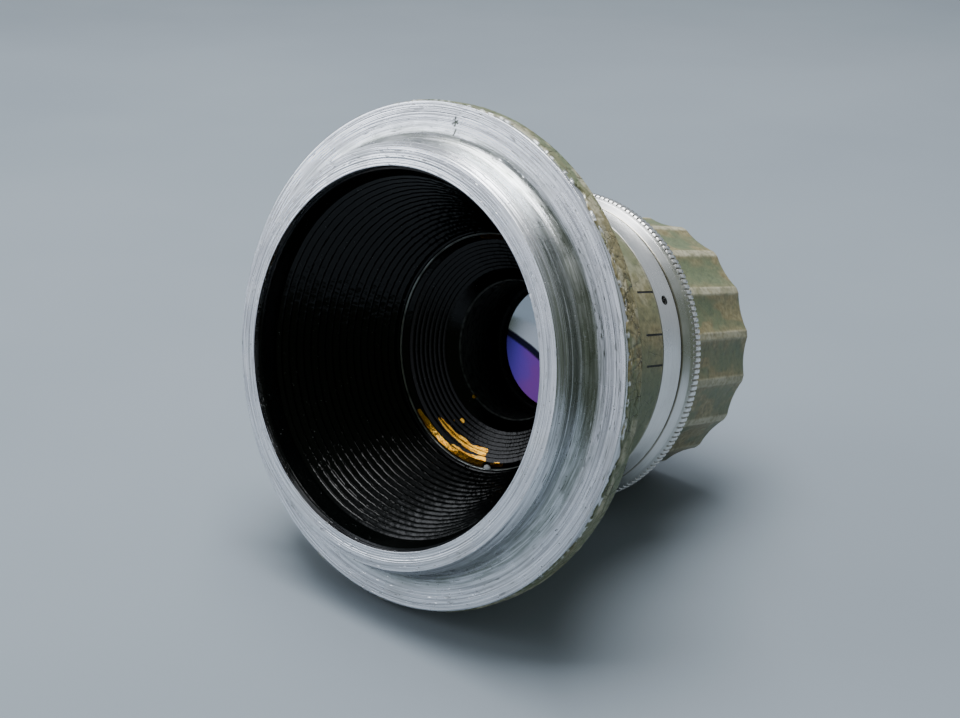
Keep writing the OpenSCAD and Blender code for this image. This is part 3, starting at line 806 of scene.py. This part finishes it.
def barrel_paint():
    """Hammer paint from the flange to the index ring, with the three engraved scale lines."""
    depth = 2 * PAINT_T
    outer = [(20.5, FLANGE_T), (20.3, FLANGE_T + 0.01), (19.4, FLANGE_T + 0.25), (19.2, 2.8)]
    outer += line((CONE_R, CONE_REAR), (BARREL_R + 0.15, CONE_FRONT), 34) + [(BARREL_R + 0.06, 12.55)]
    outer += line((BARREL_R, CONE_END), (BARREL_R, BARREL_END - 0.12), 36)
    outer += [(BARREL_R - 0.03, BARREL_END - 0.04), (BARREL_R - 0.1, BARREL_END)]
    back_r = BARREL_R - depth
    inner = [(back_r, BARREL_END), (back_r, CONE_END), (BARREL_R + 0.15 - depth, CONE_FRONT),
             (CONE_R - depth, CONE_REAR), (19.3, FLANGE_T + 0.1), (20.5, FLANGE_T - 0.12)]
    lump, fine = layered(41, 70, 14, 3), field(42, 300, 60)
    stations = [2.2, CONE_REAR, CONE_FRONT, CONE_END, BARREL_END]
    skin_radii = [19.3, 19.0, 15.42, 15.27, 15.2]

    def shape(turn, r, y):
        along = (y - FLANGE_T) / (BARREL_END - FLANGE_T)
        surface = r > np.interp(y, stations, skin_radii) - 0.02
        rough = 0.030 * (1 - lump(turn, along)) + 0.012 * (1 - fine(turn, along))
        return r - np.where(surface & (y > FLANGE_T + 0.3) & (y < BARREL_END - 0.05), rough, 0), y

    obj = turned("barrel_paint", outer + inner, 640, shape, sharp=50)
    grooves = [block((0.24, 2.86, 0.22), (BARREL_R, BARREL_END - 1.37), a) for a in SCALE_ANGLES]
    cut(obj, grooves + lock_screw_holes(), sharp=50)
    tone, patch = layered(43, 26, 8, 3), layered(44, 34, 9, 3)

    def stain(turn, r, y):
        near = sum(share * np.exp(-((angle_gap(turn, angle) / width) ** 2))
                   for share, angle, width in zip((1, 1, 0.35), SCALE_ANGLES, (5.5, 5.5, 5)))
        return np.clip(near * smooth_step(y, 13.6, 15.6) * (0.45 + 0.9 * patch(turn, y / 19)), 0, 1)

    def wear(turn, r, y):
        end = smooth_step(y, BARREL_END - 0.35, BARREL_END - 0.02)
        worn = tone(turn, y / 19)
        return np.clip(0.6 * end * worn + 0.35 * smooth_step(worn, 0.62, 0.75), 0, 1)

    paint_attributes(obj, wear, stain)
    dress(obj, "barrel", "barrel_paint", OLIVE)


def scale_marks():
    """Black filler in the three engraved lines."""
    rand = np.random.RandomState(7)
    pieces, length = 7, 2.8 / 7
    parts = []
    for a in SCALE_ANGLES:
        for k in range(pieces):
            wide = 0.19 + 0.05 * rand.rand()
            centre = (BARREL_R - 0.085, BARREL_END - 0.03 - length * (k + 0.5))
            parts.append(block((0.07, length * 1.001, wide), centre, a))
    dress(joined("scale_marks", parts), "barrel", "black_paint", BLACK_FILL)


# ---- throat

def ribbed(start, end, count, height, per_rib=9):
    """Rounded ribs along a line, standing in towards the axis."""
    out = []
    for i in range(count):
        for k in range(per_rib):
            t = (i + k / per_rib) / count
            crest = (0.5 - 0.5 * math.cos(TURN * k / per_rib)) ** 0.75
            r, y = (a + (b - a) * t for a, b in zip(start, end))
            out.append((r - height * crest, y))
    return out


def rib_roughness(seed, depth):
    """Uneven ribs: waves of about a millimetre that break up their highlights, and a fine grit."""
    waver, grit = layered(seed, 150, 44, 3), field(seed + 5, 430, 120)

    def radius(turn, r, y):
        along = (y - RIM_Y) / 22
        return r + depth * (waver(turn, along) - 0.4) + 0.35 * depth * (grit(turn, along) - 0.5)

    return radius


def rear_baffle():
    """The first ribbed cone: a smooth land at the mouth, then 17 ribs."""
    land_r, land_y = THROAT_R - 0.80, RIM_Y + 2.14
    profile = about(THROAT_R, BAFFLE_REAR, (-0.04, 0), (-0.25, 0), (-0.29, 0.08))
    profile += line((THROAT_R - 0.32, BAFFLE_REAR + 0.18), (land_r + 0.02, land_y - 0.06), 8)
    profile += [(land_r + 0.02, land_y)]
    profile += ribbed((land_r + 0.20, land_y + 0.05), (12.0, CELL_REAR - 0.30), 17, 0.33)
    profile += [(11.96, CELL_REAR - 0.26), (11.66, CELL_REAR - 0.2), (11.62, CELL_REAR - 0.1)]
    profile += [(11.64, CELL_REAR - 0.01), (COLLAR_BORE_R - 0.04, CELL_REAR - 0.01)]
    rough = rib_roughness(51, 0.080)

    def shape(turn, r, y):
        wall = np.interp(y, [BAFFLE_REAR, CELL_REAR], [THROAT_R - 0.04, COLLAR_BORE_R - 0.04])
        share = 0.15 + 0.85 * smooth_step(y, land_y - 0.1, land_y + 0.3)
        inside = (r < wall - 0.2) & (y > BAFFLE_REAR + 0.2) & (y < CELL_REAR - 0.3)
        return np.where(inside, r + (rough(turn, r, y) - r) * share, r), y

    obj = turned("rear_baffle_skin", profile, 960, shape, sharp=60)
    dress(obj, "barrel", "black_paint", BLACK, "rear_baffle")


def brass_wear_and_edge_highlight(obj, lip, step_r, step_y):
    """Where the cell's lacquer is gone: strips at the lip and a few dots; and a painted highlight along the
    lip's and the step's edges.
    """
    turn, r, y = polar(obj)
    depth = y - CELL_REAR
    ragged = layered(62, 90, 10, 3)(turn, depth / 4)
    far, near = layered(63, 60, 2, 3)(turn, y * 0), layered(64, 60, 2, 3)(turn, y * 0)
    inside = (r < COLLAR_BORE_R - 0.1) & (y < step_y + 0.3)
    widening = np.clip(angle_gap(turn, -134) / 50, 0, 1)
    first_end = 0.48 + 0.40 * widening ** 0.6 + 0.14 * (far - 0.5)
    first = near_angle(turn, -108, 26.5, 25.0) * smooth_step(depth, first_end + 0.06, first_end - 0.06)
    first = first * smooth_step(depth, 0.08, 0.20)
    begin = 1.05 + 0.08 * (near - 0.5) + 0.12 * (1 - widening)
    until = begin + 0.22 + 0.24 * widening + 0.12 * (far - 0.5)
    second = near_angle(turn, -104, 21.0, 19.0) * smooth_step(depth, until + 0.05, until - 0.05)
    second = second * smooth_step(depth, begin - 0.03, begin + 0.05)
    dots = spot(turn, depth, -117, 1.95, 1.6, 0.12) + spot(turn, depth, -113, 2.35, 2.2, 0.12)
    low = np.maximum(first, np.maximum(second, dots))
    end_low = np.exp(-(angle_gap(turn, -74) / 5) ** 2) * smooth_step(depth, 1.0, 0.6)
    end_low = end_low * smooth_step(depth, 0.3, 0.45)
    high = np.exp(-(np.abs(angle_gap(turn, 99)) / 11) ** 4) * smooth_step(depth, 0.75, 0.45)
    high = high * smooth_step(depth, 0.1, 0.3)
    speck = spot(turn, y, -123, step_y - 0.1, 2.2, 0.22) * (r < 8)
    bare = np.maximum.reduce([1.20 * low, 1.1 * end_low, 1.15 * high, 1.3 * speck])
    store(obj, "wear", inside * np.clip(bare - 0.25 * ragged, 0, 1))
    # Painted highlight on the lip's rounded edge and on the step's edge.
    lip_painted_highlight = smooth_step(depth, 0.22, 0.08) * smooth_step(r, lip + 0.36, lip + 0.26)
    lip_painted_highlight = lip_painted_highlight * smooth_step(r, lip - 0.03, lip + 0.01)
    step_painted_highlight = np.exp(-((y - step_y) / 0.15) ** 2) * (r < step_r + 0.15)
    store(obj, "edge", lip_painted_highlight + 0.6 * step_painted_highlight)


def rear_cell():
    """The second ribbed cone, with 8 ribs, and the step before the rear glass."""
    lip, step_r, step_y = 11.5, 6.96, 15.4
    outer_r, inner_r, bore_r, seat_y, shoulder_y = COLLAR_BORE_R - 0.02, 9.88, 6.15, 14.2, 25
    ribs_r, ribs_y = step_r + 1.24, step_y - 0.95
    profile = [(outer_r, CELL_REAR + 0.02), (COLLAR_BORE_R - 0.06, CELL_REAR)]
    profile += line((lip + 0.45, CELL_REAR), (lip + 0.24, CELL_REAR), 3)
    profile += arc((lip + 0.22, CELL_REAR + 0.22), 0.22, -90, -180, 7)[1:]
    profile += line((lip - 0.08, CELL_REAR + 0.30), (lip - 0.50, CELL_REAR + 0.67), 9)
    profile += ribbed((lip - 0.50, CELL_REAR + 0.75), (ribs_r, ribs_y), 8, 0.28)
    profile += line((ribs_r - 0.20, ribs_y + 0.10), (step_r + 0.18, step_y - 0.18), 6)
    profile += about(step_r, step_y, (0.06, -0.08), (0.01, -0.02), (0, 0.1))
    profile += [(step_r - 0.01, 21.0), (step_r, shoulder_y), (bore_r, shoulder_y), (bore_r, CELL_END)]
    profile += [(inner_r, CELL_END), (inner_r, seat_y), (outer_r, seat_y)]
    rough = rib_roughness(61, 0.045)

    def shape(turn, r, y):
        ribs = (r < lip + 0.02) & (y > CELL_REAR + 0.3) & (y < ribs_y + 0.05)
        return np.where(ribs, rough(turn, r, y), r), y

    obj = turned("rear_cell_skin", profile, 720, shape, sharp=60)
    brass_wear_and_edge_highlight(obj, lip, step_r, step_y)
    dress(obj, "barrel", "blackened_brass", WORN_BRASS_AND_EDGE_HIGHLIGHT, "rear_cell")


def rear_lock_ring():
    inner, outer = 6.3, 6.94
    profile = rounded([(6.55, LOCK_REAR), (outer, LOCK_REAR), (outer, LOCK_FRONT), (inner, LOCK_FRONT),
                       (inner, LOCK_REAR + 0.25)], 0.04)
    obj = turned("rear_lock_ring_skin", profile, 360)
    cut(obj, [block((2, 0.7, 0.8), (6.8, LOCK_REAR), a) for a in (-30, -210)])
    dress(obj, "barrel", "black_paint", BLACKED, "rear_lock_ring")


def glue_spot():
    """A small dried drop on the edge of the step."""
    rand = np.random.RandomState(3)
    verts, faces = [], []
    rows, sides = 9, 14
    a = math.radians(-78)
    centre = Vector((11.42 * math.cos(a), CELL_REAR + 0.02, 11.42 * math.sin(a)))
    bumps = rand.rand(rows + 1, sides) * 0.25 + 0.85
    for i in range(rows + 1):
        for j in range(sides):
            p, q = math.pi * i / rows, TURN * j / sides
            k = bumps[i, j] if 0 < i < rows else 1.0
            point = (0.42 * math.sin(p) * math.cos(q), 0.2 * math.cos(p), 0.30 * math.sin(p) * math.sin(q))
            verts.append((centre + Vector(point) * k) * MM)
    for i in range(rows):
        for j in range(sides):
            j2 = (j + 1) % sides
            faces.append((i * sides + j, i * sides + j2, (i + 1) * sides + j2, (i + 1) * sides + j))
    obj = mesh_object("glue_spot", verts, faces, 80)
    outward(obj, merge=True)
    finish_mesh(obj, 80)
    dress(obj, "barrel", "black_paint", WHITE_SPOT)


# ---- glass

def dome(radius, edge_r, edge_y, bulge, count=28):
    """A spherical face from the axis out to its edge. It bulges to the rear for -1 and to the front for 1."""
    out = []
    for k in range(count):
        r = max(0.002, edge_r * k / (count - 1))
        rise = math.sqrt(radius ** 2 - r ** 2) - math.sqrt(radius ** 2 - edge_r ** 2)
        out.append((r, edge_y + bulge * rise))
    return out


def sag(radius, r):
    """How far a spherical face falls back at a distance from the axis."""
    return radius - math.sqrt(radius ** 2 - r * r)


def lens_piece(name, rear_face, front_face, material, node):
    """A lens between two faces, each given from the axis outwards."""
    obj = turned(name, rear_face + front_face[::-1], 240, sharp=35)
    dress(obj, "barrel", "coated_glass", material, node)


def glasses():
    crown_r, flint_r, middle_r, front_r, flat_r = 6.9, 6.88, 6.84, 7.86, 40
    lens_piece("rear_crown_glass", dome(20, crown_r, 22, 1), dome(16, crown_r, 22.69, 1), VIOLET_GLASS_WITH_PAINTED_REFLECTION,
               "rear_crown_lens")
    flint_front = [(0.002, 24.63)] + [(r, 24.63 + sag(flat_r, r)) for r in np.linspace(0.3, 5.28, 20)]
    flint_front += [(5.4, 24.98), (flint_r, 24.98)]
    lens_piece("rear_flint_glass", dome(16, flint_r, 22.81, 1), flint_front, BLUE_GLASS, "rear_flint_lens")
    hollow = [(r, max(0, 0.59 - sag(flat_r, r))) for r in np.linspace(0.002, 6.75, 20)]
    middle_rear = [(r, 30.62 + d) for r, d in hollow] + [(middle_r, 30.62)]
    middle_front = [(r, 32.58 - d) for r, d in hollow] + [(middle_r, 32.58)]
    lens_piece("middle_glass", middle_rear, middle_front, BLUE_GLASS, "middle_lens")
    lens_piece("front_glass", dome(40, front_r, 34.0, -1), dome(17, front_r, 34.4, 1), BLUE_GLASS,
               "front_lens")


# ---- rings

def index_ring():
    """The smooth ring, with the index hole."""
    collar, bore = 14.4, 13.45
    profile = [(bore, INDEX_REAR), (RING_R - 0.05, INDEX_REAR, 0.05), (RING_R, INDEX_REAR + 0.06, 0.04)]
    profile += tooled((RING_R, INDEX_REAR + 0.16), (RING_R, INDEX_FRONT - 0.18), 16, 0.004, 8)
    profile += [(RING_R, INDEX_FRONT - 0.10), (RING_R - 0.12, INDEX_FRONT), (collar, INDEX_FRONT)]
    profile += [(collar, INDEX_COLLAR), (bore, INDEX_COLLAR)]
    obj = turned("index_ring_skin", rounded(profile, 0.02, 2), 600, sharp=40)
    cut(obj, [rod(0.48, 13, 17, INDEX_Y, INDEX_ANGLE, 64)], sharp=40)
    turn, r, y = polar(obj)
    front_seam = smooth_step(y, INDEX_FRONT - 0.13, INDEX_FRONT - 0.05)
    rear_seam = 0.6 * smooth_step(y, INDEX_REAR + 0.08, INDEX_REAR + 0.02)
    # Painted shade along the ring's front and rear seams.
    store(obj, "seam_and_gap_painted_shade", np.maximum(front_seam, rear_seam) * (r > 14))
    dress(obj, "preset_ring", "ring_aluminium", RING_METAL, "index_ring")


def knurled_ring():
    """The flared ring, with straight teeth cut in its front edge."""
    rear, collar, bore, bore_y = KNURLED_FRONT - 1.0, 14.4, 12.55, 23.35
    flare = [(collar, KNURLED_REAR), (BARREL_R - 0.04, KNURLED_REAR, 0.04)]
    flare += tooled((BARREL_R + 0.04, KNURLED_REAR + 0.09), (KNURL_R - 0.42, rear - 0.22), 10, 0.004, 9)
    flare += [(KNURL_R - 0.25, rear - 0.12, 0.03)]
    teeth = about(KNURL_R, rear, (-0.22, -0.11), (-0.10, -0.04), (-0.02, 0.06), (0, 0.16), (0, 0.5))
    teeth += about(KNURL_R, KNURLED_FRONT, (0, -0.16), (-0.04, -0.07), (-0.12, 0), (-0.40, 0))
    inside = [(bore, KNURLED_FRONT), (bore, bore_y), (collar, bore_y)]

    def shape(turn, r, y):
        phase = (turn * KNURLS) % 1.0
        valley = smooth_step(np.abs(phase - 0.5), 0.24, 0.07)
        on_teeth = (r > KNURL_R - 0.28) & (y > rear - 0.14)
        return np.where(on_teeth, np.minimum(r, KNURL_R - 0.24 * valley), r), y

    profile = rounded(flare, 0.02, 2)[:-1] + teeth + inside
    obj = turned("knurled_ring_skin", profile, KNURLS * 10, shape, sharp=38)
    turn, r, y = polar(obj)
    gap = smooth_step(KNURL_R - r, 0.06, 0.20) * smooth_step(y, rear - 0.12, rear + 0.05)
    seam = smooth_step(y, KNURLED_REAR + 0.13, KNURLED_REAR + 0.05) * (r > 14.6)
    # Painted shade in the gaps between the teeth and along the rear seam.
    store(obj, "seam_and_gap_painted_shade", np.maximum(gap * (y < KNURLED_FRONT - 0.02), seam))
    cut(obj, [arc_bar(12, 13.42, 23.3, 25.3, STOP_ANGLE - 31.1, STOP_ANGLE + 25.5)], sharp=38)
    dress(obj, "preset_ring", "ring_aluminium", RING_METAL, "knurled_ring")


def flute_radius(turn):
    """Radius of the fluted outline."""
    cutter, depth = 9.0, 0.4
    centre = GRIP_R - depth + cutter
    off = np.radians((angle_gap(turn, RIDGE_ANGLE) % (360 / FLUTES)) - 180 / FLUTES)
    inside = cutter ** 2 - (centre * np.sin(off)) ** 2
    floor = np.where(inside > 0, centre * np.cos(off) - np.sqrt(np.maximum(inside, 0)), GRIP_R)
    return np.minimum(GRIP_R, floor)


def grip_ring():
    """The fluted ring in worn hammer paint, with the hole for the drive screw."""
    bore, recess_r, recess_y = 12.05, 12.7, 37.55
    profile = about(bore, GRIP_REAR, (0, 0.03), (0.03, 0), (0.45, 0))
    profile += about(GRIP_R, GRIP_REAR, (-0.7, 0), (-0.25, 0), (-0.12, 0.05), (-0.03, 0.14))
    profile += line((GRIP_R, GRIP_REAR + 0.3), (GRIP_R, GRIP_END - 0.45), 60)
    profile += about(GRIP_R, GRIP_END, (-0.08, -0.30), (-0.20, -0.14), (-0.36, -0.03), (-0.50, 0), (-0.8, 0))
    profile += about(recess_r, GRIP_END, (0.05, 0), (0, -0.05)) + [(recess_r, recess_y), (bore, recess_y)]
    lump, fine, patch = layered(71, 60, 14, 3), field(72, 260, 60), layered(73, 54, 5, 2)

    def share_along(y):
        return (y - GRIP_REAR) / (GRIP_END - GRIP_REAR)

    def shape(turn, r, y):
        along = share_along(y)
        drop = GRIP_R - flute_radius(turn)
        rough = 0.035 * (1 - lump(turn, along)) + 0.012 * (1 - fine(turn, along))
        fluted = np.minimum(r, r - drop * smooth_step(r, GRIP_R - 0.75, GRIP_R - 0.2))
        return np.where(r > GRIP_R - 0.85, fluted, r) - np.where(r > GRIP_R - 0.05, rough, 0), y

    obj = turned("grip_ring_skin", profile, FLUTES * 60, shape, sharp=50)
    screw_hole = [rod(0.5, 11, 13.5, DRIVE_Y, DRIVE_ANGLE), rod(1.0, 12.8, 15, DRIVE_Y, DRIVE_ANGLE)]
    cut(obj, screw_hole, sharp=50)
    tone = layered(74, 48, 10, 3)

    def wear(turn, r, y):
        ridge = smooth_step(GRIP_R - flute_radius(turn), 0.10, 0.0)
        front_end = smooth_step(y, GRIP_END - 0.7, GRIP_END - 0.1)
        ends = np.maximum(front_end, smooth_step(y, GRIP_REAR + 0.4, GRIP_REAR))
        worn = tone(turn, share_along(y))
        return np.clip(ridge * (0.25 + 1.1 * worn) + 0.35 * ends * worn, 0, 1)

    def stain(turn, r, y):
        ridge = smooth_step(GRIP_R - flute_radius(turn), 0.30, 0.0)
        return np.clip(0.55 * ridge + 0.9 * smooth_step(patch(turn, share_along(y)), 0.45, 0.68), 0, 1)

    paint_attributes(obj, wear, stain)
    dress(obj, "aperture_ring", "barrel_paint", OLIVE_GRIP, "grip_ring")


def front_bezel():
    """The front ring, whose bore narrows in four steps."""
    inner, seat, rear, flange_y = 7.7, 10.88, 36.2, 37.6
    chamfer, lead, first_y = 0.2, 10, BEZEL_FRONT - 0.7
    profile = [(inner, rear), (seat, rear), (seat, flange_y), (BEZEL_R, flange_y)]
    profile += [(BEZEL_R, BEZEL_FRONT - chamfer, 0.08), (BEZEL_R - chamfer, BEZEL_FRONT, 0.08)]
    profile += [(lead, BEZEL_FRONT, 0.05), (lead, first_y)]
    profile += [(9.6 - i * 0.475, first_y - i * 0.5 - fall) for i in range(4) for fall in (0.0, 0.5)]
    obj = turned("front_bezel_skin", rounded(profile, 0.03, 2), 480)
    dress(obj, "barrel", "black_paint", BLACK, "front_bezel")


barrel_metal()
flange_paint()
barrel_paint()
scale_marks()
rear_baffle()
rear_cell()
rear_lock_ring()
glue_spot()
glasses()
index_ring()
knurled_ring()
grip_ring()
front_bezel()


# ---- CAD nodes that stay

KEPT = (
    (BLACKED, ["inner_barrel", "iris_housing", "actuating_ring", "iris_retainer", "lens_spacer", "front_cell",
               "front_lock_ring"]),
    (STEEL, ["lock_screws", "drive_screw", "stop_pin"]),
    (BRONZE, ["thrust_ring", "friction_spring"]),
    (BLACK_FILL, ["index_screw"]),
    (BLADE, [f"iris_blade_{i}" for i in range(1, 9)]),
)
for material, nodes in KEPT:
    for node in nodes:
        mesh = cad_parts[node].data
        mesh.materials.clear()
        mesh.materials.append(material)


# ---- camera, floor and light

AZIMUTH, ELEVATION, ROLL = 37.62, 11.75, 10.06
DISTANCE = 128.4 * MM
TARGET = Vector((4.76, 3.92, 0.97)) * MM


def photo_camera():
    az, el, roll = (math.radians(v) for v in (AZIMUTH, ELEVATION, ROLL))
    back = Vector((math.sin(az) * math.cos(el), -math.cos(az) * math.cos(el), math.sin(el)))
    level = Vector((math.cos(az), math.sin(az), 0))
    above = back.cross(level)
    right = level * math.cos(roll) + above * math.sin(roll)
    up = back.cross(right)
    camera = bpy.data.objects.new("photo_camera", bpy.data.cameras.new("photo_camera"))
    camera.data.lens, camera.data.sensor_width = 52.5, 36
    camera.data.clip_start, camera.data.clip_end = 0.005, 10
    place = Matrix((right, up, back)).transposed().to_4x4()
    place.translation = TARGET + back * DISTANCE
    camera.matrix_world = place
    bpy.context.collection.objects.link(camera)
    bpy.context.scene.camera = camera
    return right, up, back


RIGHT, UP, BACK = photo_camera()


def studio_floor():
    """The lens lies on its flange and its grip ring's front end, which tilts the floor in the part's frame."""
    rear, front = np.array([FLANGE_T - 0.2, -FLANGE_R]), np.array([GRIP_END - 0.4, -GRIP_R])
    tilt = math.atan2(front[1] - rear[1], front[0] - rear[0])
    normal = Vector((0, -math.sin(tilt), math.cos(tilt)))
    origin = Vector((0, rear[0], rear[1])) * MM - normal * 0.0001
    looking = (-BACK - normal * (-BACK).dot(normal)).normalized()
    across = looking.cross(normal)
    near, bend, radius = -0.15, 0.7, 0.4
    rows = [(near + (bend - near) * k / 6, 0.0) for k in range(7)]
    for k in range(1, 13):
        a = math.pi / 3 * k / 12
        rows.append((bend + radius * math.sin(a), radius * (1 - math.cos(a))))
    verts, faces = [], []
    columns, width = 9, 4.0
    for along, height in rows:
        for c in range(columns):
            aside = across * (c / (columns - 1) - 0.5) * width
            verts.append(origin + looking * along + normal * height + aside)
    for i in range(len(rows) - 1):
        for c in range(columns - 1):
            a = i * columns + c
            faces.append((a, a + 1, a + columns + 1, a + columns))
    sweep = mesh_object("studio_floor", verts, faces, 80)
    sweep.data.materials.append(floor_material())
    return normal


FLOOR_UP = studio_floor()


def soft_light(name, offset, size, power, colour):
    """A square soft box. offset is right, up and back of the lens as the camera sees it, in metres."""
    data = bpy.data.lights.new(name, "AREA")
    data.shape, data.size, data.energy, data.color = "SQUARE", size, power, colour
    light = bpy.data.objects.new(name, data)
    light.location = TARGET + RIGHT * offset[0] + UP * offset[1] + BACK * offset[2]
    light.rotation_euler = (TARGET - light.location).to_track_quat("-Z", "Y").to_euler()
    bpy.context.collection.objects.link(light)


soft_light("soft_box_top", (-0.05, 0.52, 0.12), 0.36, 5.2, (0.97, 0.985, 1.0))
soft_light("soft_box_left", (-0.60, 0.26, 0.04), 0.34, 1.5, (0.90, 0.94, 1.0))


def studio_world():
    world = bpy.data.worlds.new("studio_world")
    bpy.context.scene.world = world
    world.use_nodes = True
    world.node_tree.nodes.clear()
    n = Tree(world.node_tree)
    back = n.add("ShaderNodeBackground")
    n.link(back.outputs[0], n.add("ShaderNodeOutputWorld").inputs[0])
    way = n.add("ShaderNodeTexCoord").outputs["Generated"]

    def facing(direction, low, high):
        return n.span(n.vector("DOT_PRODUCT", way, direction, "Value"), low, high)

    colour = n.mix(facing(FLOOR_UP, -0.1, 0.8), (0.62, 0.68, 0.74), (0.92, 0.98, 1.06))
    colour = n.mix(facing(BACK, 0.05, 0.70), colour, (0.130, 0.160, 0.115))
    colour = n.mix(facing((-0.52, -0.85, 0.0), 0.80, 0.96), colour, (1.10, 1.18, 1.34))
    n.link(colour, back.inputs["Color"])
    back.inputs["Strength"].default_value = 0.6


studio_world()
